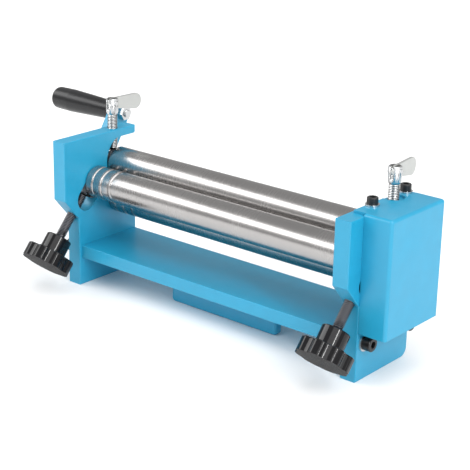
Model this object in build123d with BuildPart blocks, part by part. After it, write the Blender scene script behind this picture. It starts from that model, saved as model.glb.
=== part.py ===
# Bench slip roll with a 320 mm working width: two steel side plates tied by a
# shelf, a geared pair of pinch rolls, a bending roll that two star knobs push up
# a slanted slot, and a crank. Millimetres, +Z up, +X along the rolls towards the
# gear cover, -Y towards the knobs. The origin is the middle of the vise bar's
# bottom face, in the plane that the feet stand on.

import os
from math import acos, asin, cos, pi, radians, sin, sqrt, tan

from build123d import *

os.makedirs("parts", exist_ok=True)

# ---- Driving dimensions -------------------------------------------------------

# Side plates
roll_width = 320.0  # clear distance between the side plates
plate_t = 16.0
plate_h = 151.0
plate_depth = 98.5
front_reach = 54.5  # from the vise bar's middle plane to the plates' front edge
leg_setback = 18.3  # the foot stands back from the front edge by this much
nose_drop = 59.4  # plate's top to where the front edge ends and the chamfer starts
knee_drop = 80.5  # plate's top to where the chamfer meets the foot
heel_r = 8.0
plate_edge = 0.8  # rounding of the painted edges
arm_t = 8.0  # metal above the throat
arm_tip_r = 4.0
arm_under_r = 3.0  # lower corner of the arm's tip
lip_h = 14.5  # rear lip above the seat, which keeps the journal block in
throat_r = 24.5
throat_behind = 8.5  # throat's middle behind the pinch rolls
throat_drop = 30.5  # plate's top to the throat's middle
seat_r = 2.0

# Rolls
roll_d = 32.0
journal_d = 16.0
stub_d = 14.0  # drive stubs that carry the gears and the crank
end_gap = 0.5  # between a roll's shoulder and a side plate
roll_edge = 1.0
journal_edge = 0.5
journal_stand = 1.0  # driven journals beyond the side plates
pinch_inset = 24.5  # plates' rear edge to the pinch rolls
roll_drop = 69.1  # plates' top to the lower roll's axis
pinch_gap = 3.3  # open gap between the pinch rolls, as drawn
bend_ahead = 31.5  # bending roll in front of the pinch rolls
bend_rise = 22.2  # bending roll above the lower roll
wire_radii = (1.5, 2.0, 2.5)  # wire grooves, from the roll's end inwards
wire_land = 7.8  # plain width outside each groove

# Journal blocks
block_w = 26.0
block_down = 13.5  # block below the upper roll's axis; above it, it is round
block_edge = 3.0
seat_gap = 0.9  # below the block with the rolls closed
saddle_r = 11.9  # rounded ends of the slanted blocks
saddle_reach = 6.0  # from the bending roll's axis to the lower rounding
slot_lift = 4.0  # slot beyond the block's roundings, upwards and downwards
slot_drop = 14.7
feed_angle = 49.0  # of the slanted slots, above the horizontal

# T-slots that hold the screws' button ends in the blocks
neck_d = 5.0
neck_len = 1.8
button_d = 9.0
button_len = 2.0
shoulder_gap = 0.2  # between a screw's shoulder and its block

# Fits
slide_fit = 0.1  # sliding blocks and screws in clear holes
run_fit = 0.05  # journals in their bearings
seat_fit = 0.02  # pieces that are fixed together
clear_fit = 0.4  # screws in plain holes
washer_play = 0.5  # washer bore over its screw, on the diameter
tap_past = 2.0  # tapped holes beyond their screws' ends
head_edge = 0.6  # screw heads' outer edge
tip_edge = 0.7  # screw ends
cut_past = 1.0  # cutting tools beyond the face they start from

# Bushes
bush_wall = 3.0

# Shelf and vise bar
shelf_t = 13.0
shelf_z = 28.6  # underside
shelf_front = -33.5
shelf_inset = 0.5  # plates' rear edge to the shelf's
bar_w = 130.0
bar_t = 10.0
bar_r = 4.0  # lower corners
bar_edge = 3.0  # upright edges
weld_leg = 4.0
weld_prep = 3.0  # bevel of the bar that the weld fills

# Shelf screws, M8
shelf_screw_d = 8.0
shelf_head_d = 13.0
shelf_head_h = 8.0
shelf_key = 6.0
shelf_bite = 20.0
shelf_screw_inset = 8.0  # from the shelf's front and rear edges
shelf_washer_d = 16.0
washer_t = 1.6

# Gears
teeth = 13
module = 2.5
pressure_angle = 20.0
tooth_thinning = 0.5
root_clearance = 0.55
gear_off = 3.5  # side plate to gear
gear_w = 14.0
gear_boss = 1.0
gear_boss_d = 22.0
key_w = 5.0
key_len = 12.0
key_sink = 2.8  # depth of the keyway in the stub
key_inset = 0.5  # gear's face to the key
key_gap = 0.1  # above the key, in the gear
clip_t = 1.0
clip_d = 20.0
clip_groove = 0.6
clip_mouth = 8.4
clip_play = 0.1
stub_end = 2.5  # stub beyond the retaining clip

# Gear cover
cover_depth = 28.0
cover_wall = 2.5
cover_setback = 18.5  # plates' front edge to the cover
cover_above = 2.9  # shelf washers to the cover's lower edge
cover_edge = 3.0
cover_behind = 2.0  # cover beyond the plate's rear edge
flange_reach = 12.5
window_d = 20.0
cover_screw_d = 6.0
cover_head_d = 10.0
cover_head_h = 6.0
cover_key = 5.0
cover_bite = 12.0
cover_washer_d = 12.5
cover_screw_behind = 23.5  # cover's front to its front screw
cover_screw_ahead = 7.7  # cover's rear to its rear screw

# Clamp screws and their folding levers
clamp_d = 10.0
fork_d = 12.0
fork_rise = 14.0  # plate's top to the fork's cone
pivot_rise = 11.6  # fork's cone to the lever's pivot
fork_slot = 3.0
fork_waist = 3.0  # cone between the thread and the fork
fork_edge = 1.0
eye_r = 5.2
lever_t = 2.6
lever_len = 32.5  # pivot to the middle of the lever's rounded end
lever_r = 8.0
lever_droop = 6.0
right_twist = 8.0  # the right clamp screw stands turned by this much
lever_rest_gap = 0.05  # lever to the edge of the fork's floor
pivot_d = 4.0
pivot_proud = 0.4

# Star knobs
knob_d = 50.0
knob_h = 13.4
knob_lobes = 8
flute_r = 9.0
flute_out = 6.4
flute_blend = 3.5
left_knob_turn = -2.5  # how far round each knob stands
right_knob_turn = -11.6
hub_d = 26.0
hub_h = 17.2
hub_edge = 0.8
knob_crown = 1.5
knob_edge = 1.2
feed_d = 10.0
feed_stand = 49.0  # from the block's lower end to the knob's hub
feed_bite = 20.0

# Crank
crank_len = 84.0
crank_angle = 32.0  # from upright, leaning to the rear
crank_w = 25.0
crank_t = 8.0
crank_off = 22.0  # side plate to crank arm
crank_hub_d = 28.0
crank_hub_gap = 2.5
set_screw_d = 6.0
set_screw_key = 3.0
set_screw_sunk = 0.3
grip_len = 86.0
grip_root_d = 19.0
grip_end_d = 24.0
grip_swell = 0.72  # share of the grip's length up to its thickest place
grip_edge = 4.0
grip_gap = 0.1  # between the grip and what holds it endways
grip_bolt_d = 8.0
grip_head_d = 13.0
grip_head_h = 8.0
grip_key = 6.0
grip_recess = 11.0
grip_recess_gap = 0.6  # around the bolt's head
grip_washer_d = 18.0
nut_af = 13.0
nut_h = 6.5
bolt_end = 2.0

# ---- Places that follow from them ----------------------------------------------

inner_x = roll_width / 2
mid_x = inner_x + plate_t / 2
outer_x = inner_x + plate_t
plate_front = -front_reach
plate_rear = plate_depth - front_reach
leg_front = plate_front + leg_setback
nose_z = plate_h - nose_drop
knee_z = plate_h - knee_drop
roll_end = inner_x - end_gap
pinch_y = plate_rear - pinch_inset
lower_z = plate_h - roll_drop
upper_z = lower_z + roll_d + pinch_gap
bend_y = pinch_y - bend_ahead
bend_z = lower_z + bend_rise
arm_under = plate_h - arm_t
throat_y = pinch_y + throat_behind
throat_z = plate_h - throat_drop
seat_z = upper_z - block_down - pinch_gap - seat_gap
lip_z = seat_z + lip_h
guide_half = block_w / 2 + slide_fit
tip_z = upper_z + block_w / 2
feed_dir = (0.0, cos(radians(feed_angle)), sin(radians(feed_angle)))
slot_reach = saddle_reach + slot_drop
low_end = saddle_reach + saddle_r
hub_s = -low_end - feed_stand
knob_s = hub_s - hub_h
shelf_rear = plate_rear - shelf_inset
shelf_screw_z = shelf_z + shelf_t / 2
shelf_screw_ys = (shelf_front + shelf_screw_inset, shelf_rear - shelf_screw_inset)
bush_d = journal_d + 2 * run_fit + 2 * bush_wall
cover_front = plate_front + cover_setback
cover_rear = plate_rear + cover_behind
cover_low = shelf_screw_z + shelf_washer_d / 2 + cover_above
cover_top = plate_h + cover_wall
cover_screw_ys = (cover_front + cover_screw_behind, cover_rear - cover_screw_ahead)
fork_z = plate_h + fork_rise
pivot_z = fork_z + pivot_rise
gear_x = outer_x + gear_off
stub_x = outer_x + journal_stand
key_x = gear_x + key_inset + key_len / 2
clip_x = gear_x + gear_w + clip_play
stub_tip = clip_x + clip_t + stub_end
crank_x = -(outer_x + crank_off)
hub_start = -(outer_x + crank_hub_gap)
grip_y = pinch_y + crank_len * sin(radians(crank_angle))
grip_z = lower_z + crank_len * cos(radians(crank_angle))
grip_x = crank_x - crank_t - washer_t


def yz(x):
    """Plane square to the rolls, looking along +X, its own X on +Y."""
    return Plane(origin=(x, 0, 0), x_dir=(0, 1, 0), z_dir=(1, 0, 0))


def along_feed(x, distance):
    """Point at this distance up the slanted feed, from the bending roll's axis."""
    return Vector(x, bend_y + distance * feed_dir[1], bend_z + distance * feed_dir[2])


def feed_plane(x, distance):
    """Plane square to the feed screw, its normal pointing up the slot."""
    return Plane(origin=along_feed(x, distance), x_dir=(1, 0, 0), z_dir=feed_dir)


def save(builder, name):
    """Label a finished piece and write its file."""
    builder.part.label = name
    export_step(builder.part, f"parts/{name}.step")


# ---- Shapes that several pieces share -------------------------------------------


def side_outline():
    """Side plate without its openings, in plate coordinates (Y, Z)."""
    with BuildSketch() as outline:
        with BuildLine():
            Polyline(
                (plate_rear, 0),
                (leg_front, 0),
                (leg_front, knee_z),
                (plate_front, nose_z),
                (plate_front, plate_h),
                (plate_rear, plate_h),
                close=True,
            )
        make_face()
        rear_corners = outline.vertices().group_by(Axis.X)[-1].sort_by(Axis.Y)
        fillet(rear_corners[0], radius=heel_r)
        fillet(rear_corners[-1], radius=arm_tip_r)
    return outline.sketch


def throat_outline():
    """Hooked throat of the left plate: guide for the block, open to the rear."""
    front = pinch_y - guide_half
    rear = pinch_y + guide_half
    wall_top = throat_z - sqrt(throat_r**2 - (throat_y - front) ** 2)
    roof_start = throat_y - sqrt(throat_r**2 - (arm_under - throat_z) ** 2)
    halfway = radians(10)  # any angle between the arc's ends
    with BuildSketch() as outline:
        with BuildLine():
            Line((front, seat_z), (front, wall_top))
            ThreePointArc(
                (front, wall_top),
                (throat_y - throat_r * cos(halfway), throat_z + throat_r * sin(halfway)),
                (roof_start, arm_under),
            )
            Line((roof_start, arm_under), (plate_rear - arm_under_r, arm_under))
            TangentArc(
                (plate_rear - arm_under_r, arm_under),
                (plate_rear, arm_under + arm_under_r),
                tangent=(1, 0),
            )
            Polyline(
                (plate_rear, arm_under + arm_under_r),
                (plate_rear + cut_past, arm_under + arm_under_r),
                (plate_rear + cut_past, lip_z),
                (rear, lip_z),
                (rear, seat_z),
                (front, seat_z),
            )
        make_face()
        corners = outline.vertices().group_by(Axis.Y)[0]
        fillet(corners, radius=seat_r)
    return outline.sketch


def saddle_outline(radius, reach, lift=0.0):
    """Slanted slot or block: an oblong about the bending roll's axis."""
    low = along_feed(0, -reach)
    high = along_feed(0, lift)
    with BuildSketch() as outline:
        with Locations(((low.Y + high.Y) / 2, (low.Z + high.Z) / 2)):
            SlotCenterToCenter(reach + lift, 2 * radius, rotation=feed_angle)
    return outline.sketch


def cap_screw(thread_d, length, head_d, head_h, key_af):
    """Socket cap screw with its head's seat at z = 0 and its shank below."""
    with BuildPart() as screw:
        with BuildSketch():
            Circle(head_d / 2)
        extrude(amount=head_h)
        chamfer(screw.edges().group_by(Axis.Z)[-1], length=head_edge)
        with BuildSketch(Plane.XY.offset(head_h)):
            RegularPolygon(key_af / 2, 6, major_radius=False)
        extrude(amount=-head_h / 2, mode=Mode.SUBTRACT)
        with BuildSketch():
            Circle(thread_d / 2)
        extrude(amount=-length)
        chamfer(screw.edges().group_by(Axis.Z)[0], length=tip_edge)
    return screw.part


def washer(outer_d, inner_d):
    """Flat washer standing on z = 0."""
    with BuildPart() as ring:
        with BuildSketch():
            Circle(outer_d / 2)
            Circle(inner_d / 2, mode=Mode.SUBTRACT)
        extrude(amount=washer_t)
    return ring.part


def roll_profile(left, right, grooves):
    """Half section of a roll, (X, radius), with its journals and stubs.

    left and right are lists of (diameter, distance of its end from the middle),
    from the roll's shoulder outwards.
    """

    def half_outline(steps):
        points = [(0.0, roll_d / 2), (roll_end - roll_edge, roll_d / 2)]
        points.append((roll_end, roll_d / 2 - roll_edge))
        start = roll_end
        for diameter, end in steps:
            points += [(start, diameter / 2), (end - journal_edge, diameter / 2)]
            points.append((end, diameter / 2 - journal_edge))
            start = end
        return points + [(start, 0.0), (0.0, 0.0)]

    with BuildSketch() as half:
        with BuildLine():
            Polyline(*half_outline(right), close=True)
        make_face()
        with BuildLine():
            Polyline(*[(-x, radius) for x, radius in half_outline(left)], close=True)
        make_face()
        if grooves:
            edge_x = -roll_end
            for radius in wire_radii:
                with Locations((edge_x + wire_land + radius, roll_d / 2)):
                    Circle(radius, mode=Mode.SUBTRACT)
                edge_x += wire_land + 2 * radius
    return half.sketch


def tooth_half_angle(radius):
    """Half the angle that one tooth takes at this radius, in radians."""
    pitch_r = teeth * module / 2
    alpha = radians(pressure_angle)
    base_r = pitch_r * cos(alpha)
    here = acos(min(1.0, base_r / radius))
    at_pitch = pi / (2 * teeth) - tooth_thinning / 2 / pitch_r
    return at_pitch + (tan(alpha) - alpha) - (tan(here) - here)


def gear_outline():
    """Spur gear with a tooth pointing to the sketch's +Y."""
    pitch_r = teeth * module / 2
    base_r = pitch_r * cos(radians(pressure_angle))
    tip_r = pitch_r + module
    root_r = pitch_r - module - root_clearance
    mid_r = (base_r + tip_r) / 2

    def at(radius, angle):
        return (radius * cos(angle), radius * sin(angle))

    with BuildSketch() as outline:
        with BuildLine():
            for index in range(teeth):
                axis = pi / 2 + index * 2 * pi / teeth
                step = 2 * pi / teeth
                base_a = tooth_half_angle(base_r)
                mid_a = tooth_half_angle(mid_r)
                tip_a = tooth_half_angle(tip_r)
                Line(at(root_r, axis - base_a), at(base_r, axis - base_a))
                ThreePointArc(
                    at(base_r, axis - base_a), at(mid_r, axis - mid_a), at(tip_r, axis - tip_a)
                )
                ThreePointArc(at(tip_r, axis - tip_a), at(tip_r, axis), at(tip_r, axis + tip_a))
                ThreePointArc(
                    at(tip_r, axis + tip_a), at(mid_r, axis + mid_a), at(base_r, axis + base_a)
                )
                Line(at(base_r, axis + base_a), at(root_r, axis + base_a))
                ThreePointArc(
                    at(root_r, axis + base_a),
                    at(root_r, axis + step / 2),
                    at(root_r, axis + step - base_a),
                )
        make_face()
    return outline.sketch


def tee_slot(x_first, x_last, y_first, y_last, neck_w, button_w):
    """T-slot to subtract, mouth at z = 0 and open above, spanning this rectangle."""
    middle = ((x_first + x_last) / 2, (y_first + y_last) / 2)
    length = (abs(x_last - x_first), abs(y_last - y_first))
    with BuildPart() as slot:
        for width, top, depth in (
            (neck_w, cut_past, neck_len - slide_fit + cut_past),
            (button_w, -neck_len + slide_fit, button_len + 2 * slide_fit),
        ):
            across = x_first == x_last
            with BuildSketch(Plane.XY.offset(top)):
                with Locations(middle):
                    Rectangle(width if across else length[0], length[1] if across else width)
                with Locations((x_first, y_first)):
                    Circle(width / 2)
            extrude(amount=-depth)
    return slot.part


# ---- Side plates -----------------------------------------------------------------


def side_holes():
    """Openings that both plates share, in plate coordinates."""
    with BuildSketch() as holes:
        with Locations((pinch_y, lower_z)):
            Circle(bush_d / 2 + seat_fit)
        with Locations(*[(y, shelf_screw_z) for y in shelf_screw_ys]):
            Circle(shelf_screw_d / 2 + clear_fit)
        add(saddle_outline(saddle_r + slide_fit, slot_reach, slot_lift))
    return holes.sketch


def soften(plate):
    """Round the outer edges of a plate that stands square to the rolls."""
    rims = [face.outer_wire().edges() for face in plate.faces().filter_by(Axis.X)]
    fillet([edge for rim in rims for edge in rim], radius=plate_edge)


with BuildPart() as left_side_plate:
    with BuildSketch(yz(-outer_x)):
        add(side_outline())
    extrude(amount=plate_t)
    soften(left_side_plate)
    with BuildSketch(yz(-outer_x)):
        add(throat_outline())
        add(side_holes())
    extrude(amount=plate_t, mode=Mode.SUBTRACT)
    with BuildSketch(feed_plane(-mid_x, -slot_reach)):
        Circle(feed_d / 2 + slide_fit)
    extrude(amount=-plate_depth, mode=Mode.SUBTRACT)
    with BuildSketch(Plane.XY.offset(tip_z)):
        with Locations((-mid_x, pinch_y)):
            Circle(clamp_d / 2 + slide_fit)
    extrude(amount=plate_h - tip_z, mode=Mode.SUBTRACT)
save(left_side_plate, "left_side_plate")

with BuildPart() as right_side_plate:
    with BuildSketch(yz(inner_x)):
        add(side_outline())
    extrude(amount=plate_t)
    soften(right_side_plate)
    with BuildSketch(yz(inner_x)):
        add(side_holes())
        with Locations((pinch_y, (seat_z + arm_under) / 2)):
            RectangleRounded(2 * guide_half, arm_under - seat_z, seat_r)
    extrude(amount=plate_t, mode=Mode.SUBTRACT)
    with BuildSketch(feed_plane(mid_x, -slot_reach)):
        Circle(feed_d / 2 + slide_fit)
    extrude(amount=-plate_depth, mode=Mode.SUBTRACT)
    with BuildSketch(Plane.XY.offset(tip_z)):
        with Locations((mid_x, pinch_y)):
            Circle(clamp_d / 2 + slide_fit)
    extrude(amount=plate_h - tip_z, mode=Mode.SUBTRACT)
    with BuildSketch(Plane.XY.offset(plate_h)):
        with Locations(*[(mid_x, y) for y in cover_screw_ys]):
            Circle(cover_screw_d / 2 + seat_fit)
    extrude(amount=-cover_bite - tap_past, mode=Mode.SUBTRACT)
save(right_side_plate, "right_side_plate")

# ---- Bushes of the lower pinch roll -------------------------------------------------

for name, start in (("lower_bush_left", -outer_x), ("lower_bush_right", inner_x)):
    with BuildPart() as bush:
        with BuildSketch(yz(start)):
            with Locations((pinch_y, lower_z)):
                Circle(bush_d / 2)
                Circle(journal_d / 2 + run_fit, mode=Mode.SUBTRACT)
        extrude(amount=plate_t)
    save(bush, name)

# ---- Shelf, vise bar and what holds them --------------------------------------------

with BuildPart() as tie_shelf:
    with BuildSketch(Plane.XY.offset(shelf_z)):
        with Locations((0, (shelf_front + shelf_rear) / 2)):
            Rectangle(roll_width, shelf_rear - shelf_front)
    extrude(amount=shelf_t)
    fillet(tie_shelf.edges().filter_by(Axis.X), radius=plate_edge)
    for side in (-1, 1):
        with BuildSketch(yz(side * inner_x)):
            with Locations(*[(y, shelf_screw_z) for y in shelf_screw_ys]):
                Circle(shelf_screw_d / 2 + seat_fit)
        extrude(amount=-side * (shelf_bite + tap_past), mode=Mode.SUBTRACT)
save(tie_shelf, "tie_shelf")

with BuildPart() as vise_bar:
    with BuildSketch(Plane.XZ.offset(-bar_t / 2)):
        with Locations((0, shelf_z / 2)):
            Rectangle(bar_w, shelf_z)
    extrude(amount=bar_t)
    fillet(vise_bar.edges().filter_by(Axis.Y).group_by(Axis.Z)[0], radius=bar_r)
    fillet(vise_bar.edges().filter_by(Axis.Z), radius=bar_edge)
    for side in (-1, 1):
        with BuildSketch(yz(-bar_w / 2)):
            with Locations((side * bar_t / 2, shelf_z)):
                Rectangle(sqrt(2) * weld_prep, sqrt(2) * weld_prep, rotation=45)
        extrude(amount=bar_w, mode=Mode.SUBTRACT)
save(vise_bar, "vise_bar")

with BuildPart() as vise_bar_welds:
    for side in (-1, 1):
        with BuildSketch(yz(-bar_w / 2 + weld_leg)):
            with BuildLine():
                Polyline(
                    (side * (bar_t / 2 - weld_prep), shelf_z),
                    (side * (bar_t / 2 + weld_leg), shelf_z),
                    (side * bar_t / 2, shelf_z - weld_prep),
                    close=True,
                )
            make_face()
        extrude(amount=bar_w - 2 * weld_leg)
save(vise_bar_welds, "vise_bar_welds")

shelf_shank = washer_t + plate_t + shelf_bite

with BuildPart() as shelf_screws:
    for side in (-1, 1):
        for y in shelf_screw_ys:
            head = Plane(
                origin=(side * (outer_x + washer_t), y, shelf_screw_z),
                x_dir=(0, 1, 0),
                z_dir=(side, 0, 0),
            )
            with Locations(head):
                add(cap_screw(shelf_screw_d, shelf_shank, shelf_head_d, shelf_head_h, shelf_key))
save(shelf_screws, "shelf_screws")

with BuildPart() as shelf_washers:
    for side in (-1, 1):
        for y in shelf_screw_ys:
            seat = Plane(
                origin=(side * outer_x, y, shelf_screw_z), x_dir=(0, 1, 0), z_dir=(side, 0, 0)
            )
            with Locations(seat):
                add(washer(shelf_washer_d, shelf_screw_d + washer_play))
save(shelf_washers, "shelf_washers")

# ---- Gear cover ------------------------------------------------------------------------

with BuildPart() as gear_cover:
    with BuildSketch(yz(outer_x)):
        with Locations(((cover_front + cover_rear) / 2, (cover_low + cover_top) / 2)):
            Rectangle(cover_rear - cover_front, cover_top - cover_low)
    extrude(amount=cover_depth)
    fillet(gear_cover.edges().filter_by(Axis.X).group_by(Axis.Z)[-1], radius=cover_edge)
    rim = gear_cover.faces().sort_by(Axis.X)[-1].edges().sort_by(Axis.Z)[1:]
    fillet(rim, radius=cover_edge)
    ends = [gear_cover.faces().sort_by(Axis.X)[0], gear_cover.faces().sort_by(Axis.Z)[0]]
    offset(amount=-cover_wall, openings=ends)
    with BuildSketch(Plane.XY.offset(plate_h)):
        with Locations((outer_x - flange_reach / 2, (cover_front + cover_rear) / 2)):
            Rectangle(flange_reach, cover_rear - cover_front - 2 * cover_edge)
    extrude(amount=cover_wall)
    with BuildSketch(Plane.XY.offset(plate_h - cut_past)):
        with Locations(*[(mid_x, y) for y in cover_screw_ys]):
            Circle(cover_screw_d / 2 + clear_fit)
        with Locations((mid_x, pinch_y)):
            Circle(window_d / 2)
    extrude(amount=cover_wall + 2 * cut_past, mode=Mode.SUBTRACT)
save(gear_cover, "gear_cover")

cover_shank = washer_t + cover_wall + cover_bite

with BuildPart() as cover_screws:
    for y in cover_screw_ys:
        with Locations((mid_x, y, cover_top + washer_t)):
            add(cap_screw(cover_screw_d, cover_shank, cover_head_d, cover_head_h, cover_key))
save(cover_screws, "cover_screws")

with BuildPart() as cover_washers:
    for y in cover_screw_ys:
        with Locations((mid_x, y, cover_top)):
            add(washer(cover_washer_d, cover_screw_d + washer_play))
save(cover_washers, "cover_washers")

# ---- Rolls ---------------------------------------------------------------------------------

right_drive = [(journal_d, stub_x), (stub_d, stub_tip)]
idle_end = [(journal_d, outer_x - end_gap)]
crank_end = [(journal_d, stub_x), (stub_d, crank_t - crank_x)]


def roll_axis(y, z):
    """Plane whose own X lies along a roll's axis and whose Y points up."""
    return Plane(origin=(0, y, z), x_dir=(1, 0, 0), z_dir=(0, -1, 0))


def drive_cuts(z):
    """Keyway and clip groove at a drive stub's right end, as a tool to subtract."""
    with BuildPart() as cuts:
        with BuildSketch(Plane.XY.offset(z + stub_d / 2 - key_sink)):
            with Locations((key_x, pinch_y)):
                Rectangle(key_len + 2 * seat_fit, key_w + 2 * seat_fit)
        extrude(amount=stub_d)
        with BuildSketch(yz(clip_x)):
            with Locations((pinch_y, z)):
                Circle(stub_d)
                Circle(stub_d / 2 - clip_groove, mode=Mode.SUBTRACT)
        extrude(amount=clip_t + clip_play)
    return cuts.part


with BuildPart() as lower_roller:
    with BuildSketch(roll_axis(pinch_y, lower_z)):
        add(roll_profile(crank_end, right_drive, True))
    revolve(axis=Axis((0, pinch_y, lower_z), (1, 0, 0)))
    add(drive_cuts(lower_z), mode=Mode.SUBTRACT)
save(lower_roller, "lower_roller")

with BuildPart() as upper_roller:
    with BuildSketch(roll_axis(pinch_y, upper_z)):
        add(roll_profile(idle_end, right_drive, False))
    revolve(axis=Axis((0, pinch_y, upper_z), (1, 0, 0)))
    add(drive_cuts(upper_z), mode=Mode.SUBTRACT)
save(upper_roller, "upper_roller")

with BuildPart() as bending_roller:
    with BuildSketch(roll_axis(bend_y, bend_z)):
        add(roll_profile(idle_end, idle_end, True))
    revolve(axis=Axis((0, bend_y, bend_z), (1, 0, 0)))
save(bending_roller, "bending_roller")

# ---- Gears, keys and clips ---------------------------------------------------------------------

keyway_top = stub_d / 2 - key_sink + key_w + key_gap

for name, z in (("lower", lower_z), ("upper", upper_z)):
    with BuildPart() as gear:
        with BuildSketch(yz(gear_x)):
            with Locations((pinch_y, z)):
                add(gear_outline())
        extrude(amount=gear_w)
        with BuildSketch(yz(gear_x)):
            with Locations((pinch_y, z)):
                Circle(gear_boss_d / 2)
        extrude(amount=-gear_boss)
        with BuildSketch(yz(gear_x - gear_boss)):
            with Locations((pinch_y, z)):
                Circle(stub_d / 2 + seat_fit)
            with Locations((pinch_y, z + keyway_top / 2)):
                Rectangle(key_w + 2 * seat_fit, keyway_top)
        extrude(amount=gear_w + gear_boss, mode=Mode.SUBTRACT)
    save(gear, f"{name}_gear")

    with BuildPart() as key:
        with BuildSketch(Plane.XY.offset(z + stub_d / 2 - key_sink)):
            with Locations((key_x, pinch_y)):
                Rectangle(key_len, key_w)
        extrude(amount=key_w)
    save(key, f"{name}_gear_key")

    with BuildPart() as clip:
        with BuildSketch(yz(clip_x)):
            with Locations((pinch_y, z)):
                Circle(clip_d / 2)
                Circle(stub_d / 2 - clip_groove + seat_fit, mode=Mode.SUBTRACT)
            with Locations((pinch_y, z - clip_d / 2)):
                Rectangle(clip_mouth, clip_d, mode=Mode.SUBTRACT)
        extrude(amount=clip_t)
    save(clip, f"{name}_gear_clip")

# ---- Upper roll: blocks, clamp screws and levers --------------------------------------------------

# The lever's lower edge is the straight line that touches its eye and its end from
# below. It rests on the rim of the fork's floor, which sets the floor's height.
edge_tilt = radians(lever_droop) + asin((lever_r - eye_r) / lever_len)
rim_y = sqrt((fork_d / 2) ** 2 - (lever_t / 2) ** 2)
fork_floor = pivot_z - eye_r / cos(edge_tilt) - rim_y * tan(edge_tilt) - lever_rest_gap


def button_end():
    """Neck and button below z = 0, for the end of a screw that pulls its block."""
    with BuildPart() as button:
        with BuildSketch(Plane.XY.offset(shoulder_gap)):
            Circle(neck_d / 2)
        extrude(amount=-neck_len - shoulder_gap)
        with BuildSketch(Plane.XY.offset(-neck_len)):
            Circle(button_d / 2)
        extrude(amount=-button_len)
    return button.part


def pivot_plane(x, twist, distance):
    """Plane square to a lever's pivot, its own X along the lever and its Y up."""
    turn = radians(twist)
    pivot_dir = Vector(cos(turn), sin(turn), 0)
    middle = Vector(x, pinch_y, pivot_z) + pivot_dir * distance
    return Plane(origin=middle, x_dir=(-sin(turn), cos(turn), 0), z_dir=pivot_dir)


for side, hand, twist in ((-1, "left", 0.0), (1, "right", right_twist)):
    x = side * mid_x
    with BuildPart() as block:
        with BuildSketch(yz(side * inner_x)) as outline:
            with Locations((pinch_y, upper_z)):
                Circle(block_w / 2)
            with Locations((pinch_y, upper_z - block_down / 2)):
                Rectangle(block_w, block_down)
            fillet(outline.vertices().group_by(Axis.Y)[0], radius=block_edge)
            with Locations((pinch_y, upper_z)):
                Circle(journal_d / 2 + run_fit, mode=Mode.SUBTRACT)
        extrude(amount=side * plate_t)
        slot_mouth = -block_w / 2 - cut_past
        with Locations((x, pinch_y, tip_z)):
            add(
                tee_slot(0, 0, 0, slot_mouth, neck_d + 2 * slide_fit, button_d + 2 * slide_fit),
                mode=Mode.SUBTRACT,
            )
    save(block, f"upper_block_{hand}")

    with BuildPart() as clamp_screw:
        with Locations((x, pinch_y, tip_z)):
            add(button_end())
        with BuildSketch(Plane.XY.offset(tip_z + shoulder_gap)):
            with Locations((x, pinch_y)):
                Circle(clamp_d / 2)
        extrude(amount=fork_z - tip_z - shoulder_gap)
        with BuildSketch(Plane.XY.offset(fork_z)):
            with Locations((x, pinch_y)):
                Circle(clamp_d / 2)
        with BuildSketch(Plane.XY.offset(fork_z + fork_waist)):
            with Locations((x, pinch_y)):
                Circle(fork_d / 2)
        loft()
        with BuildSketch(Plane.XY.offset(fork_z + fork_waist)):
            with Locations((x, pinch_y)):
                Circle(fork_d / 2)
        extrude(amount=pivot_z + eye_r - fork_z - fork_waist)
        chamfer(clamp_screw.edges().group_by(Axis.Z)[-1], length=fork_edge)
        with BuildSketch(Plane.XY.offset(fork_floor)):
            with Locations((x, pinch_y)):
                Rectangle(fork_slot, 2 * fork_d, rotation=twist)
        extrude(amount=2 * fork_d, mode=Mode.SUBTRACT)
        with BuildSketch(pivot_plane(x, twist, -fork_d)):
            Circle(pivot_d / 2 + seat_fit)
        extrude(amount=2 * fork_d, mode=Mode.SUBTRACT)
    save(clamp_screw, f"clamp_screw_{hand}")

    with BuildPart() as fork_pin:
        with BuildSketch(pivot_plane(x, twist, -fork_d / 2 - pivot_proud)):
            Circle(pivot_d / 2)
        extrude(amount=fork_d + 2 * pivot_proud)
    save(fork_pin, f"fork_pin_{hand}")

    with BuildPart() as lever:
        droop = radians(lever_droop)
        with BuildSketch(pivot_plane(x, twist, -lever_t / 2)):
            Circle(eye_r)
            with Locations((lever_len * cos(droop), -lever_len * sin(droop))):
                Circle(lever_r)
            make_hull()
            Circle(pivot_d / 2 + run_fit, mode=Mode.SUBTRACT)
        extrude(amount=lever_t)
    save(lever, f"clamp_lever_{hand}")

# ---- Bending roll: slanted blocks, feed screws and star knobs -----------------------------------------


def star_outline():
    """Lobed rim of the star knob."""
    with BuildSketch() as outline:
        Circle(knob_d / 2)
        with PolarLocations(knob_d / 2 + flute_out, knob_lobes):
            Circle(flute_r, mode=Mode.SUBTRACT)
        fillet(outline.vertices(), radius=flute_blend)
    return outline.sketch


with BuildPart() as star_knob:
    with BuildSketch():
        add(star_outline())
    extrude(amount=-knob_h)
    fillet(star_knob.edges().group_by(Axis.Z)[-1], radius=knob_edge)
    with BuildSketch(Plane.XY.offset(-knob_h)):
        add(star_outline())
    extrude(amount=-knob_crown)
    crown_r = ((knob_d / 2) ** 2 + knob_crown**2) / (2 * knob_crown)
    with Locations((0, 0, crown_r - knob_h - knob_crown)):
        Sphere(crown_r, mode=Mode.INTERSECT)
    with BuildSketch():
        Circle(hub_d / 2)
    extrude(amount=hub_h)
    chamfer(star_knob.edges().group_by(Axis.Z)[-1], length=hub_edge)
    with BuildSketch(Plane.XY.offset(hub_h)):
        Circle(feed_d / 2 + seat_fit)
    extrude(amount=-feed_bite - slide_fit, mode=Mode.SUBTRACT)

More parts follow.
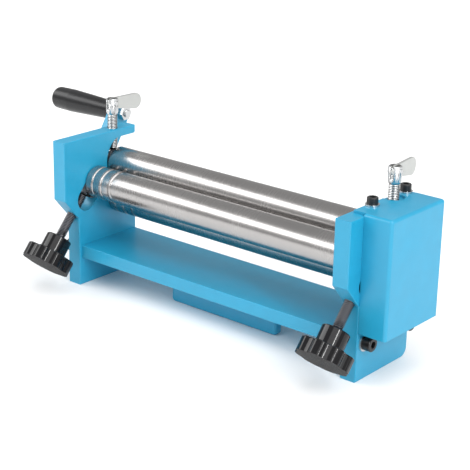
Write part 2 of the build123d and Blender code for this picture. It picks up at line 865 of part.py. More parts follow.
for side, hand, turn in ((-1, "left", left_knob_turn), (1, "right", right_knob_turn)):
    x = side * mid_x
    with BuildPart() as block:
        with BuildSketch(yz(side * inner_x)):
            add(saddle_outline(saddle_r, saddle_reach))
            with Locations((bend_y, bend_z)):
                Circle(journal_d / 2 + run_fit, mode=Mode.SUBTRACT)
        extrude(amount=side * plate_t)
        inward = Plane(
            origin=along_feed(x, -low_end), x_dir=(-side, 0, 0), z_dir=-Vector(feed_dir)
        )
        slot_mouth = plate_t / 2 + cut_past
        with Locations(inward):
            add(
                tee_slot(0, slot_mouth, 0, 0, neck_d + 2 * slide_fit, button_d + 2 * slide_fit),
                mode=Mode.SUBTRACT,
            )
    save(block, f"bending_block_{hand}")

    with BuildPart() as knob_screw:
        block_end = Plane(
            origin=along_feed(x, -low_end), x_dir=(1, 0, 0), z_dir=-Vector(feed_dir)
        )
        with Locations(block_end):
            add(button_end())
        with BuildSketch(feed_plane(x, -low_end - shoulder_gap)):
            Circle(feed_d / 2)
        extrude(amount=shoulder_gap - feed_stand - feed_bite)
    save(knob_screw, f"knob_screw_{hand}")

    with BuildPart() as knob:
        with Locations(Location(feed_plane(x, knob_s)) * Rotation(0, 0, turn)):
            add(star_knob.part)
    save(knob, f"star_knob_{hand}")

# ---- Crank ------------------------------------------------------------------------------------------------

with BuildPart() as crank_arm:
    with BuildSketch(yz(crank_x)):
        with Locations(((pinch_y + grip_y) / 2, (lower_z + grip_z) / 2)):
            SlotCenterToCenter(crank_len, crank_w, rotation=90 - crank_angle)
    extrude(amount=-crank_t)
    soften(crank_arm)
    with BuildSketch(yz(hub_start)):
        with Locations((pinch_y, lower_z)):
            Circle(crank_hub_d / 2)
    extrude(amount=crank_x - hub_start)
    with BuildSketch(yz(hub_start)):
        with Locations((pinch_y, lower_z)):
            Circle(stub_d / 2 + seat_fit)
    extrude(amount=-crank_off - crank_t, mode=Mode.SUBTRACT)
    with BuildSketch(yz(crank_x)):
        with Locations((grip_y, grip_z)):
            Circle(grip_bolt_d / 2 + seat_fit)
    extrude(amount=-crank_t, mode=Mode.SUBTRACT)
    with BuildSketch(Plane.XY.offset(lower_z - crank_hub_d)):
        with Locations(((hub_start + crank_x) / 2, pinch_y)):
            Circle(set_screw_d / 2 + seat_fit)
    extrude(amount=crank_hub_d, mode=Mode.SUBTRACT)
save(crank_arm, "crank_arm")

with BuildPart() as crank_set_screw:
    set_top = lower_z - stub_d / 2 - seat_fit
    set_low = lower_z - crank_hub_d / 2 + set_screw_sunk
    with BuildSketch(Plane.XY.offset(set_low)):
        with Locations(((hub_start + crank_x) / 2, pinch_y)):
            Circle(set_screw_d / 2)
    extrude(amount=set_top - set_low)
    with BuildSketch(Plane.XY.offset(set_low)):
        with Locations(((hub_start + crank_x) / 2, pinch_y)):
            RegularPolygon(set_screw_key / 2, 6, major_radius=False)
    extrude(amount=(set_top - set_low) / 2, mode=Mode.SUBTRACT)
save(crank_set_screw, "crank_set_screw")

with BuildPart() as crank_grip:
    with BuildSketch(Plane(origin=(grip_x, grip_y, grip_z), x_dir=(-1, 0, 0), z_dir=(0, 1, 0))):
        with BuildLine():
            Polyline(
                (grip_gap, grip_bolt_d / 2 + slide_fit),
                (grip_gap, grip_root_d / 2 - journal_edge),
                (grip_gap + journal_edge, grip_root_d / 2),
                (grip_len * grip_swell, grip_end_d / 2),
                (grip_len, grip_end_d / 2 - journal_edge),
                (grip_len, grip_head_d / 2 + grip_recess_gap),
                (grip_len - grip_recess, grip_head_d / 2 + grip_recess_gap),
                (grip_len - grip_recess, grip_bolt_d / 2 + slide_fit),
                close=True,
            )
        make_face()
    revolve(axis=Axis((0, grip_y, grip_z), (1, 0, 0)))
    end_rims = crank_grip.edges().filter_by(GeomType.CIRCLE).group_by(Axis.X)[0]
    fillet(end_rims.sort_by(SortBy.RADIUS)[-1], radius=grip_edge)
save(crank_grip, "crank_grip")

bolt_reach = grip_len - grip_recess + washer_t + crank_t + nut_h + bolt_end

with BuildPart() as grip_bolt:
    seat = Plane(
        origin=(grip_x - grip_len + grip_recess - grip_gap, grip_y, grip_z),
        x_dir=(0, 1, 0),
        z_dir=(-1, 0, 0),
    )
    with Locations(seat):
        add(cap_screw(grip_bolt_d, bolt_reach, grip_head_d, grip_head_h, grip_key))
save(grip_bolt, "grip_bolt")

with BuildPart() as grip_washer:
    with BuildSketch(yz(grip_x)):
        with Locations((grip_y, grip_z)):
            Circle(grip_washer_d / 2)
            Circle(grip_bolt_d / 2 + seat_fit, mode=Mode.SUBTRACT)
    extrude(amount=washer_t)
save(grip_washer, "grip_washer")

with BuildPart() as grip_nut:
    with BuildSketch(yz(crank_x)):
        with Locations((grip_y, grip_z)):
            RegularPolygon(nut_af / 2, 6, major_radius=False)
            Circle(grip_bolt_d / 2 + seat_fit, mode=Mode.SUBTRACT)
    extrude(amount=nut_h)
save(grip_nut, "grip_nut")
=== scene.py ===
# Looks of a bench slip roll: blue powder-coated frame, ground steel rolls, bright
# threaded clamp screws with folding levers, black star knobs and a black crank grip.
# Everything is in metres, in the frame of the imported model, with +X along the rolls.

import math

import bpy
from mathutils import Matrix, Vector


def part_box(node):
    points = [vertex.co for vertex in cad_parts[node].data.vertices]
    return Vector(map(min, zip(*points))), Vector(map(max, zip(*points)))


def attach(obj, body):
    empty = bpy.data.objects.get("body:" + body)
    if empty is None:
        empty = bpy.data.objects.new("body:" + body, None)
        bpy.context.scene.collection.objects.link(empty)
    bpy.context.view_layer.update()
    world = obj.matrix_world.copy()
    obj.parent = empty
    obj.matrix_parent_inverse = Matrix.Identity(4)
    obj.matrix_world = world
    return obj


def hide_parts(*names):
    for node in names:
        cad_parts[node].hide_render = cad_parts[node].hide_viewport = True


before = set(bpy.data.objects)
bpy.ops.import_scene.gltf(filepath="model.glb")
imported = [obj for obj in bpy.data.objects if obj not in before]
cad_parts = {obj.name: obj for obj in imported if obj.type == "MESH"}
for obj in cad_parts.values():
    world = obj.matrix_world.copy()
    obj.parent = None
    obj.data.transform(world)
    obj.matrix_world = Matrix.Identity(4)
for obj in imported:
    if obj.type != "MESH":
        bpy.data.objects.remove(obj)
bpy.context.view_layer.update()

bl_info = {
    "name": "Bench slip roll",
    "version": (1, 0, 0),
    "blender": (4, 5, 0),
    "location": "View3D > Sidebar > Slip roll",
    "description": "Dresses a bench slip roll: paint, rolls, threaded screws, knobs and levers",
    "category": "Object",
}

MM = 0.001

# Where the camera of the picture stands, and where it looks.
CAMERA_PLACE = Vector((0.76835, -0.92626, 0.51199))
CAMERA_RIGHT = Vector((0.76876, 0.63919, 0.02086))
CAMERA_UP = Vector((-0.22980, 0.24565, 0.94172))
CAMERA_BACK = Vector((0.59682, -0.72876, 0.33574))
CAMERA_LENS = 104.62  # in millimetres, as is the sensor's width
CAMERA_SENSOR = 36.0
CAMERA_NEAR, CAMERA_FAR = 0.05, 50.0

# The clamp screws stand upright at this X and Y. FEED_START is a point on the right knob
# screw's axis, and both knob screws lead down to the front. The left screws are at minus X.
UPRIGHT = Vector((0.0, 0.0, 1.0))
CLAMP_SCREW_X, CLAMP_SCREW_Y = 168.0 * MM, 19.5 * MM
FEED_ANGLE = math.radians(49.0)
FEED_AWAY = Vector((0.0, -math.cos(FEED_ANGLE), -math.sin(FEED_ANGLE)))
FEED_START = Vector((168.0, -12.0, 104.1)) * MM
CROWN_FROM = 97.4 * MM  # along the feed, where the matt underside of a star knob starts
SCREW_RADIUS = 5.0 * MM
HANDS = ((-1, "left"), (1, "right"))

# The outline of one thread tooth: each point's share of the pitch, and whether it is on the
# crest.
TOOTH = ((0.0, False), (0.14, False), (0.44, True), (0.56, True), (0.86, False), (1.0, False))
THREAD_STEPS = 32  # steps in a turn
WELD_DISTANCE = 0.01 * MM
SHANK_SLACK = 0.05 * MM  # how far a vertex of the plain shank may stand from its radius
THREAD_SINK = 0.02 * MM  # how deep a thread's roots lie inside the shank
SMOOTH_ANGLE = math.radians(35)

# Shares and limits in the shader groups and finishes.
EDGE_GAIN = 6.0  # how soon the mask of an edge is full
CLOUD_FROM, CLOUD_TO = 0.32, 0.68  # noise values that clouds spread to 0 and 1
COLOUR_DEPTH = 0.15  # how far full contrast moves the colour up or down
SPECK_SCALE, SPECK_FROM, SPECK_GAIN = 1500.0, 0.62, 3
CROWN_ROUGHER = 0.75  # added to the roughness of a star knob's matt underside

# The studio. The sky has one strength as light and one as the camera sees it. Area lights are
# given by name, direction from the machine, distance, size and power.
FLOOR_WIDTH = 12.0
AIM = Vector((0.0, 0.0, 0.09))
SKY_LIGHT, SKY_SEEN = 0.5, 1.0
SOFT_BOXES = (
    ("key_light", (-0.60, -0.567, 0.567), 2.2, (3.6, 0.8), 37.0),
    ("strip_light", (0.85, -0.35, 0.42), 2.0, (0.12, 1.3), 15.0),
)
CEILING_PLACE = (1.5, -0.2, 2.6)
CEILING_POWER = 2.25
CEILING_SPREAD = math.radians(80)

PAINTED = (
    "left_side_plate",
    "right_side_plate",
    "tie_shelf",
    "vise_bar",
    "vise_bar_welds",
    "gear_cover",
    "crank_arm",
)
ROLLS = ("lower_roller", "upper_roller", "bending_roller")
BLOCKS = ("upper_block_left", "upper_block_right", "bending_block_left", "bending_block_right")
GEARS = ("lower_gear", "upper_gear", "lower_gear_key", "upper_gear_key")
BUSHES = ("lower_bush_left", "lower_bush_right")
BLACK_FASTENERS = (
    "shelf_screws",
    "cover_screws",
    "crank_set_screw",
    "lower_gear_clip",
    "upper_gear_clip",
)
BRIGHT_FASTENERS = (
    "shelf_washers",
    "cover_washers",
    "grip_bolt",
    "grip_washer",
    "grip_nut",
    "fork_pin_left",
    "fork_pin_right",
)


def colour_property(name, description, default):
    """A colour that the user can change."""
    return bpy.props.FloatVectorProperty(
        name=name, description=description, default=default, size=3, min=0, max=1, subtype="COLOR"
    )


def length_property(name, description, default):
    """A length in metres that the user can change."""
    return bpy.props.FloatProperty(
        name=name, description=description, default=default, min=0,
        subtype="DISTANCE", unit="LENGTH",
    )


class SlipRollColours(bpy.types.PropertyGroup):
    """Colours of the finishes"""

    paint: colour_property("Paint", "Powder coat of the frame", (0.010, 0.280, 0.465))
    steel: colour_property("Ground steel", "Rolls", (0.40, 0.388, 0.382))
    machined: colour_property("Machined steel", "Blocks, gears and keys", (0.20, 0.20, 0.205))
    bronze: colour_property("Bronze", "Bushes of the lower roll", (0.48, 0.30, 0.12))
    zinc: colour_property("Zinc", "Clamp screws, pins and washers", (0.56, 0.57, 0.575))
    lever: colour_property("Lever", "Folding levers", (0.52, 0.53, 0.515))
    oxide: colour_property("Black oxide", "Cap screws, set screw and clips", (0.012, 0.012, 0.013))
    # The crests' lighter oxide is wear, with painted glints on it.
    worn_oxide: colour_property("Worn oxide", "Crests of the knob screws", (0.192, 0.192, 0.208))
    knob: colour_property("Knob plastic", "Glossy star knobs", (0.006, 0.006, 0.007))
    grip: colour_property("Grip plastic", "Satin crank grip", (0.010, 0.010, 0.011))
    floor: colour_property("Floor", "Plain pale floor", (0.92, 0.92, 0.92))


class SlipRollSizes(bpy.types.PropertyGroup):
    """Sizes of the detail that the looks add"""

    thread_pitch: length_property("Thread pitch", "Of the clamp and knob screws", 1.5 * MM)
    thread_depth: length_property("Thread depth", "Crest to root", 0.85 * MM)
    edge_radius: length_property("Edge radius", "Softness of painted edges", 0.7 * MM)
    knob_edge: length_property("Knob edge", "Softness of knob, grip and lever edges", 0.5 * MM)
    screw_edge: length_property("Screw edge", "Softness of the cap screws' edges", 0.4 * MM)
    metal_edge: length_property("Metal edge", "Softness of rolls, blocks and gears", 0.3 * MM)
    thread_edge: length_property("Thread edge", "Softness of thread crests", 0.1 * MM)


# ---- Shader groups that several finishes share ------------------------------------------


def node(tree, kind, **settings):
    """Adds a shader node and sets its options."""
    made = tree.nodes.new("ShaderNode" + kind)
    for name, value in settings.items():
        setattr(made, name, value)
    return made


def feed(tree, source, target):
    """Links an output socket to an input socket, or sets the input to a value."""
    if isinstance(source, bpy.types.NodeSocket):
        tree.links.new(source, target)
    else:
        target.default_value = source


def maths(tree, operation, first, second=0.0, third=0.0, clamp=False):
    """A Math node's output."""
    made = node(tree, "Math", operation=operation, use_clamp=clamp)
    for socket, value in zip(made.inputs, (first, second, third)):
        feed(tree, value, socket)
    return made.outputs[0]


def mix_colours(tree, factor, first, second, blend="MIX"):
    """A colour mix's output."""
    made = node(tree, "Mix", data_type="RGBA", blend_type=blend)
    feed(tree, factor, made.inputs["Factor"])
    feed(tree, first, made.inputs[6])
    feed(tree, second, made.inputs[7])
    return made.outputs[2]


def new_group(name, inputs, outputs):
    """An empty shader group with named sockets, and its input and output nodes."""
    group = bpy.data.node_groups.new(name, "ShaderNodeTree")
    for label, kind, default in inputs:
        socket = group.interface.new_socket(label, in_out="INPUT", socket_type="NodeSocket" + kind)
        if default is not None:
            socket.default_value = default
    for label, kind in outputs:
        group.interface.new_socket(label, in_out="OUTPUT", socket_type="NodeSocket" + kind)
    return group, group.nodes.new("NodeGroupInput"), group.nodes.new("NodeGroupOutput")


def place_on_piece(tree, stretch):
    """Object coordinates, each multiplied by its part of stretch."""
    made = node(tree, "VectorMath", operation="MULTIPLY")
    feed(tree, node(tree, "TexCoord").outputs["Object"], made.inputs[0])
    feed(tree, stretch, made.inputs[1])
    return made.outputs[0]


def noise(tree, vector, scale, detail=3.0, roughness=0.5):
    """A noise texture's value."""
    made = node(tree, "TexNoise")
    feed(tree, vector, made.inputs["Vector"])
    feed(tree, scale, made.inputs["Scale"])
    made.inputs["Detail"].default_value = detail
    made.inputs["Roughness"].default_value = roughness
    return made.outputs["Fac"]


def grain_group():
    """Stretched grain: orange peel, lathe lines or mould grain, by its stretch and scale."""
    group, given, result = new_group(
        "Grain",
        [("Stretch", "Vector", (1, 1, 1)), ("Scale", "Float", 900.0), ("Contrast", "Float", 1.0)],
        [("Height", "Float"), ("Tone", "Float")],
    )
    place = place_on_piece(group, given.outputs["Stretch"])
    fine = noise(group, place, given.outputs["Scale"], 2.0, 0.6)
    coarse = noise(group, place, maths(group, "MULTIPLY", given.outputs["Scale"], 0.11), 3.0)
    centred = maths(group, "SUBTRACT", fine, 0.5)
    height = maths(group, "MULTIPLY", centred, given.outputs["Contrast"])
    feed(group, height, result.inputs["Height"])
    tone = maths(group, "MULTIPLY_ADD", coarse, 0.65, maths(group, "MULTIPLY", fine, 0.35))
    feed(group, tone, result.inputs["Tone"])
    return group


def edge_group():
    """Rounded-edge normal, with a mask that is 1 on the edges and 0 on flat faces."""
    group, given, result = new_group(
        "Soft edges",
        [("Radius", "Float", 0.0007)],
        [("Normal", "Vector"), ("Edge", "Float")],
    )
    rounded = node(group, "Bevel", samples=6)
    feed(group, given.outputs["Radius"], rounded.inputs["Radius"])
    same = node(group, "VectorMath", operation="DOT_PRODUCT")
    feed(group, rounded.outputs[0], same.inputs[0])
    feed(group, node(group, "NewGeometry").outputs["Normal"], same.inputs[1])
    away = maths(group, "SUBTRACT", 1.0, same.outputs["Value"])
    feed(group, rounded.outputs[0], result.inputs["Normal"])
    feed(group, maths(group, "MULTIPLY", away, EDGE_GAIN, clamp=True), result.inputs["Edge"])
    return group


def cloud_group():
    """Soft cloudy tone for handling marks and slight unevenness."""
    group, given, result = new_group(
        "Cloudy tone", [("Scale", "Float", 18.0)], [("Value", "Float")]
    )
    cloud = noise(group, place_on_piece(group, (1, 1, 1)), given.outputs["Scale"], 4.0, 0.55)
    spread = node(group, "MapRange")
    feed(group, cloud, spread.inputs["Value"])
    spread.inputs["From Min"].default_value = CLOUD_FROM
    spread.inputs["From Max"].default_value = CLOUD_TO
    feed(group, spread.outputs["Result"], result.inputs["Value"])
    return group


def thread_group():
    """1 on the crests of a thread and 0 in its roots, by the distance from the screw's axis."""
    group, given, result = new_group(
        "Thread depth",
        [
            ("Axis point", "Vector", (0, 0, 0)),
            ("Axis direction", "Vector", (0, 0, 1)),
            ("Root", "Float", 0.004),
            ("Crest", "Float", 0.005),
        ],
        [("Crest", "Float")],
    )
    side = node(group, "SeparateXYZ")
    feed(group, node(group, "TexCoord").outputs["Object"], side.inputs[0])
    joined = node(group, "CombineXYZ")
    feed(group, maths(group, "ABSOLUTE", side.outputs["X"]), joined.inputs["X"])
    feed(group, side.outputs["Y"], joined.inputs["Y"])
    feed(group, side.outputs["Z"], joined.inputs["Z"])
    from_axis = node(group, "VectorMath", operation="SUBTRACT")
    feed(group, joined.outputs[0], from_axis.inputs[0])
    feed(group, given.outputs["Axis point"], from_axis.inputs[1])
    across = node(group, "VectorMath", operation="CROSS_PRODUCT")
    feed(group, from_axis.outputs[0], across.inputs[0])
    feed(group, given.outputs["Axis direction"], across.inputs[1])
    reach = node(group, "VectorMath", operation="LENGTH")
    feed(group, across.outputs[0], reach.inputs[0])
    spread = node(group, "MapRange")
    feed(group, reach.outputs["Value"], spread.inputs["Value"])
    feed(group, given.outputs["Root"], spread.inputs["From Min"])
    feed(group, given.outputs["Crest"], spread.inputs["From Max"])
    feed(group, spread.outputs["Result"], result.inputs["Crest"])
    return group


def plane_group():
    """1 past a plane that stands square to a direction, and 0 before it."""
    group, given, result = new_group(
        "Past a plane",
        [
            ("Point", "Vector", (0, 0, 0)),
            ("Direction", "Vector", (0, 0, 1)),
            ("Distance", "Float", 0.0),
        ],
        [("Mask", "Float")],
    )
    from_point = node(group, "VectorMath", operation="SUBTRACT")
    feed(group, node(group, "TexCoord").outputs["Object"], from_point.inputs[0])
    feed(group, given.outputs["Point"], from_point.inputs[1])
    along = node(group, "VectorMath", operation="DOT_PRODUCT")
    feed(group, from_point.outputs[0], along.inputs[0])
    feed(group, given.outputs["Direction"], along.inputs[1])
    past = maths(group, "GREATER_THAN", along.outputs["Value"], given.outputs["Distance"])
    feed(group, past, result.inputs["Mask"])
    return group


GROUP_MAKERS = {
    "Grain": grain_group,
    "Soft edges": edge_group,
    "Cloudy tone": cloud_group,
    "Thread depth": thread_group,
    "Past a plane": plane_group,
}


def use_group(tree, name, **values):
    """Places a shared group in a material, made the first time it is asked for."""
    made = tree.nodes.new("ShaderNodeGroup")
    made.node_tree = bpy.data.node_groups.get(name) or GROUP_MAKERS[name]()
    for label, value in values.items():
        feed(tree, value, made.inputs[label.replace("_", " ")])
    return made


ALL_ROUND = (1.0, 1.0, 1.0)
ROUND_X = (1.0, 0.02, 0.02)  # fine lines that run round the X axis
METAL = {"Metallic": 1.0, "Specular IOR Level": 0.5}

# colour and soft name properties of the scene. tint is how far clouds lighten the colour and how
# far a painted highlight lightens the edges. grain is the grain's scale, stretch its run, contrast
# its strength and depth the height of its bump. rough is the range of roughness, and shader holds
# the plain values.
# thread gives a thread's axis and the colour of its roots, which is painted shade in the hollows
# with some grime, and crown the colour of a star knob's matt underside. These names differ from
# the record's slots, whose own materials come with the CAD nodes.
FINISHES = {
    "powder_coat": dict(
        colour="paint", tint=0.14, stretch=ALL_ROUND, grain=700.0, contrast=0.6,
        depth=0.08 * MM, soft="edge_radius", rough=(0.34, 0.48),
        shader={"Specular IOR Level": 0.5, "Coat Weight": 0.25, "Coat Roughness": 0.3},
    ),
    "roll_steel": dict(
        colour="steel", tint=0.10, stretch=ROUND_X, grain=2600.0, contrast=0.35,
        depth=0.012 * MM, soft="metal_edge", rough=(0.24, 0.30), shader=METAL,
    ),
    "machined_steel": dict(
        colour="machined", tint=0.4, stretch=ALL_ROUND, grain=1500.0, contrast=0.6,
        depth=0.05 * MM, soft="metal_edge", rough=(0.38, 0.52), shader=METAL,
    ),
    "turned_bronze": dict(
        colour="bronze", tint=0.2, stretch=ROUND_X, grain=1800.0, contrast=0.5,
        depth=0.03 * MM, soft="metal_edge", rough=(0.28, 0.4), shader=METAL,
    ),
    "bright_zinc": dict(
        colour="zinc", tint=0.1, stretch=ALL_ROUND, grain=1600.0, contrast=0.35,
        depth=0.03 * MM, soft="metal_edge", rough=(0.2, 0.32), shader=METAL,
    ),
    "zinc_thread": dict(
        colour="zinc", tint=0.1, stretch=ALL_ROUND, grain=1600.0, contrast=0.35,
        depth=0.03 * MM, soft="thread_edge", rough=(0.2, 0.32), shader=METAL,
        # the roots' colour is painted shade in the thread's hollows, with some grime
        thread=((CLAMP_SCREW_X, CLAMP_SCREW_Y, 0.0), UPRIGHT, (0.16, 0.16, 0.155)),
    ),
    "oxide_thread": dict(
        # the crests' lighter oxide colour is wear, with painted glints on it
        colour="worn_oxide", tint=0.2, stretch=ALL_ROUND, grain=1700.0, contrast=0.5,
        depth=0.03 * MM, soft="thread_edge", rough=(0.2, 0.3),
        shader={"Metallic": 0.8, "Specular IOR Level": 0.5},
        # the roots' near black is painted shade in the thread's hollows, with some grime
        thread=(FEED_START, FEED_AWAY, (0.002, 0.002, 0.002)),
    ),
    "satin_lever": dict(
        colour="lever", tint=0.16, stretch=ALL_ROUND, grain=1300.0, contrast=0.5,
        depth=0.05 * MM, soft="knob_edge", rough=(0.34, 0.46),
        shader={"Metallic": 0.75, "Specular IOR Level": 0.5},
    ),
    "oxide_screws": dict(
        colour="oxide", tint=0.3, stretch=ALL_ROUND, grain=1700.0, contrast=0.5,
        depth=0.04 * MM, soft="screw_edge", rough=(0.26, 0.36),
        shader={"Metallic": 0.2, "Specular IOR Level": 0.5},
    ),
    "knob_gloss": dict(
        colour="knob", tint=0.12, stretch=ALL_ROUND, grain=600.0, contrast=0.3,
        depth=0.02 * MM, soft="knob_edge", rough=(0.05, 0.09),
        shader={"Specular IOR Level": 0.34}, crown=(0.030, 0.030, 0.031),
    ),
    "grip_satin": dict(
        colour="grip", tint=0.3, stretch=ALL_ROUND, grain=1100.0, contrast=0.5,
        depth=0.04 * MM, soft="knob_edge", rough=(0.26, 0.34),
        shader={"Specular IOR Level": 0.34},
    ),
}


def shaded_thread_roots(tree, toned, point, direction, root_shade):
    """The finish's colour with a thread's roots darkened: painted shade in the hollows, with some
    grime.
    """
    depth = bpy.context.scene.slip_roll_sizes.thread_depth
    crests = use_group(
        tree, "Thread depth", Axis_point=point, Axis_direction=direction,
        Root=SCREW_RADIUS - depth, Crest=SCREW_RADIUS - 0.1 * depth,
    )
    return mix_colours(tree, crests.outputs[0], (*root_shade, 1), toned)


def matt_crown(tree, toned, uneven, crown):
    """The finish's colour and roughness with the speckled matt underside of a star knob."""
    matt = use_group(
        tree, "Past a plane", Point=FEED_START, Direction=FEED_AWAY, Distance=CROWN_FROM
    ).outputs[0]
    speck = noise(tree, place_on_piece(tree, ALL_ROUND), SPECK_SCALE, 1.0)
    specks = maths(tree, "GREATER_THAN", speck, SPECK_FROM)
    light = (*(value * SPECK_GAIN for value in crown), 1)
    speckled = mix_colours(tree, specks, (*crown, 1), light)
    return (
        mix_colours(tree, matt, toned, speckled),
        maths(tree, "MULTIPLY_ADD", matt, CROWN_ROUGHER, uneven, clamp=True),
    )


def finish_material(
    name, colour, tint, stretch, grain, contrast, depth, soft, rough, shader,
    thread=None, crown=None,
):
    """A material with grain, cloudy tone, softened edges with a painted highlight, and its own
    shader values.
    """
    material = bpy.data.materials.new(name)
    material.use_nodes = True
    tree = material.node_tree
    surface = tree.nodes["Principled BSDF"]
    colour = tuple(getattr(bpy.context.scene.slip_roll_colours, colour))
    radius = getattr(bpy.context.scene.slip_roll_sizes, soft)
    texture = use_group(tree, "Grain", Stretch=stretch, Scale=grain, Contrast=contrast)
    edges = use_group(tree, "Soft edges", Radius=radius)
    clouds = use_group(tree, "Cloudy tone", Scale=14.0).outputs[0]

    pale = tuple(min(1.0, value * (1 + tint) + 0.02 * tint) for value in colour) + (1,)
    clouded = mix_colours(tree, maths(tree, "MULTIPLY", clouds, 0.5), (*colour, 1), pale)
    # Rounded edges are mixed towards the paler colour: a painted highlight along them.
    edge_lit = mix_colours(tree, maths(tree, "MULTIPLY", edges.outputs["Edge"], 0.7), clouded, pale)
    half = contrast * COLOUR_DEPTH
    shade = maths(tree, "MULTIPLY_ADD", texture.outputs["Tone"], 2 * half, 1 - half)
    grey = node(tree, "CombineColor")
    for socket in grey.inputs:
        feed(tree, shade, socket)
    toned = mix_colours(tree, 1.0, edge_lit, grey.outputs[0], "MULTIPLY")
    low, high = rough
    uneven = maths(tree, "MULTIPLY_ADD", clouds, high - low, low)
    if thread:
        toned = shaded_thread_roots(tree, toned, *thread)
    if crown:
        toned, uneven = matt_crown(tree, toned, uneven, crown)
    roughness = maths(tree, "MULTIPLY_ADD", texture.outputs["Height"], 0.25, uneven, clamp=True)
    feed(tree, toned, surface.inputs["Base Color"])
    feed(tree, roughness, surface.inputs["Roughness"])

    bump = node(tree, "Bump")
    bump.inputs["Distance"].default_value = depth
    bump.inputs["Strength"].default_value = 1.0
    feed(tree, texture.outputs["Height"], bump.inputs["Height"])
    feed(tree, edges.outputs["Normal"], bump.inputs["Normal"])
    feed(tree, bump.outputs[0], surface.inputs["Normal"])
    for label, value in shader.items():
        surface.inputs[label].default_value = value
    return material


def finish(name):
    """One of the object's finishes, made the first time it is asked for."""
    return bpy.data.materials.get(name) or finish_material(name, **FINISHES[name])


def dress(names, material_name):
    """Gives CAD nodes their finish."""
    for name in names:
        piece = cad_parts[name]
        piece.data.materials.clear()
        piece.data.materials.append(finish(material_name))


# ---- Modelling helpers --------------------------------------------------------------------


def nothing_selected():
    """Leaves edit mode and deselects everything."""
    if bpy.context.object and bpy.context.object.mode != "OBJECT":
        bpy.ops.object.mode_set(mode="OBJECT")
    bpy.ops.object.select_all(action="DESELECT")


def only(piece):
    """Selects this object alone and makes it active."""
    nothing_selected()
    piece.select_set(True)
    bpy.context.view_layer.objects.active = piece


def select_vertices(piece, wanted):
    """Enters edit mode with the vertices selected whose place is wanted."""
    only(piece)
    bpy.ops.object.mode_set(mode="EDIT")
    bpy.ops.mesh.select_mode(type="VERT")
    bpy.ops.mesh.select_all(action="DESELECT")
    bpy.ops.object.mode_set(mode="OBJECT")
    for vertex in piece.data.vertices:
        vertex.select = wanted(vertex.co)
    bpy.ops.object.mode_set(mode="EDIT")


def apply_modifier(piece, kind, **settings):
    """Adds a modifier with these settings and applies it."""
    only(piece)
    modifier = piece.modifiers.new(kind.title(), kind)
    for name, value in settings.items():
        setattr(modifier, name, value)
    bpy.ops.object.modifier_apply(modifier=modifier.name)


def drawn_line(name, points):
    """A chain of edges through these points, drawn by extruding one vertex."""
    nothing_selected()
    bpy.ops.mesh.primitive_plane_add(size=MM)
    piece = bpy.context.object
    piece.name = piece.data.name = name
    bpy.ops.object.mode_set(mode="EDIT")
    bpy.ops.mesh.merge(type="CENTER")
    here = Vector((0, 0, 0))
    for index, point in enumerate(points):
        step = Vector(point) - here
        if index:
            bpy.ops.mesh.extrude_region_move(TRANSFORM_OT_translate={"value": step})
        else:
            bpy.ops.transform.translate(value=step)
        here = Vector(point)
    bpy.ops.object.mode_set(mode="OBJECT")
    return piece


def close_mesh(piece):
    """Merges doubles, fills open rims and turns the faces outwards."""
    only(piece)
    bpy.ops.object.mode_set(mode="EDIT")
    bpy.ops.mesh.select_all(action="SELECT")
    bpy.ops.mesh.remove_doubles(threshold=WELD_DISTANCE)
    bpy.ops.mesh.select_all(action="DESELECT")
    bpy.ops.mesh.select_mode(type="EDGE")
    bpy.ops.mesh.select_non_manifold(extend=False, use_wire=False, use_multi_face=False)
    bpy.ops.mesh.edge_face_add()
    bpy.ops.mesh.select_mode(type="VERT")
    bpy.ops.mesh.select_all(action="SELECT")
    bpy.ops.mesh.normals_make_consistent(inside=False)
    bpy.ops.object.mode_set(mode="OBJECT")


def put_in_place(piece, matrix):
    """Moves a finished shape to its place and leaves the object at the origin."""
    only(piece)
    piece.matrix_world = matrix
    bpy.ops.object.transform_apply(location=True, rotation=True, scale=True)


def axis_matrix(point, direction):
    """Matrix from a piece modelled along +Z at the origin to this point and direction."""
    return Matrix.Translation(point) @ direction.to_track_quat("Z", "Y").to_matrix().to_4x4()


def node_copy(name, node_name):
    """A merged copy of a CAD node, at its place."""
    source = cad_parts[node_name]
    piece = bpy.data.objects.new(name, source.data.copy())
    piece.data.name = name
    bpy.context.scene.collection.objects.link(piece)
    only(piece)
    bpy.ops.object.mode_set(mode="EDIT")
    bpy.ops.mesh.select_all(action="SELECT")
    bpy.ops.mesh.remove_doubles(threshold=WELD_DISTANCE)
    bpy.ops.object.mode_set(mode="OBJECT")
    return piece


def thread(name, radius, depth, pitch, length):
    """A closed thread along +Z from the origin: one tooth's profile, swept as a screw."""
    tooth = [(radius if crest else radius - depth, 0, share * pitch) for share, crest in TOOTH]
    piece = drawn_line(name, tooth)
    apply_modifier(
        piece, "SCREW", axis="Z", angle=2 * math.pi, screw_offset=pitch,
        iterations=int(length / pitch) - 1, steps=THREAD_STEPS, render_steps=THREAD_STEPS,
        use_merge_vertices=True, merge_threshold=WELD_DISTANCE,
    )
    close_mesh(piece)
    return piece


def on_shank(place):
    """Whether a point, with the screw's axis on Z, lies on the plain shank."""
    return abs(math.hypot(place.x, place.y) - SCREW_RADIUS) < SHANK_SLACK


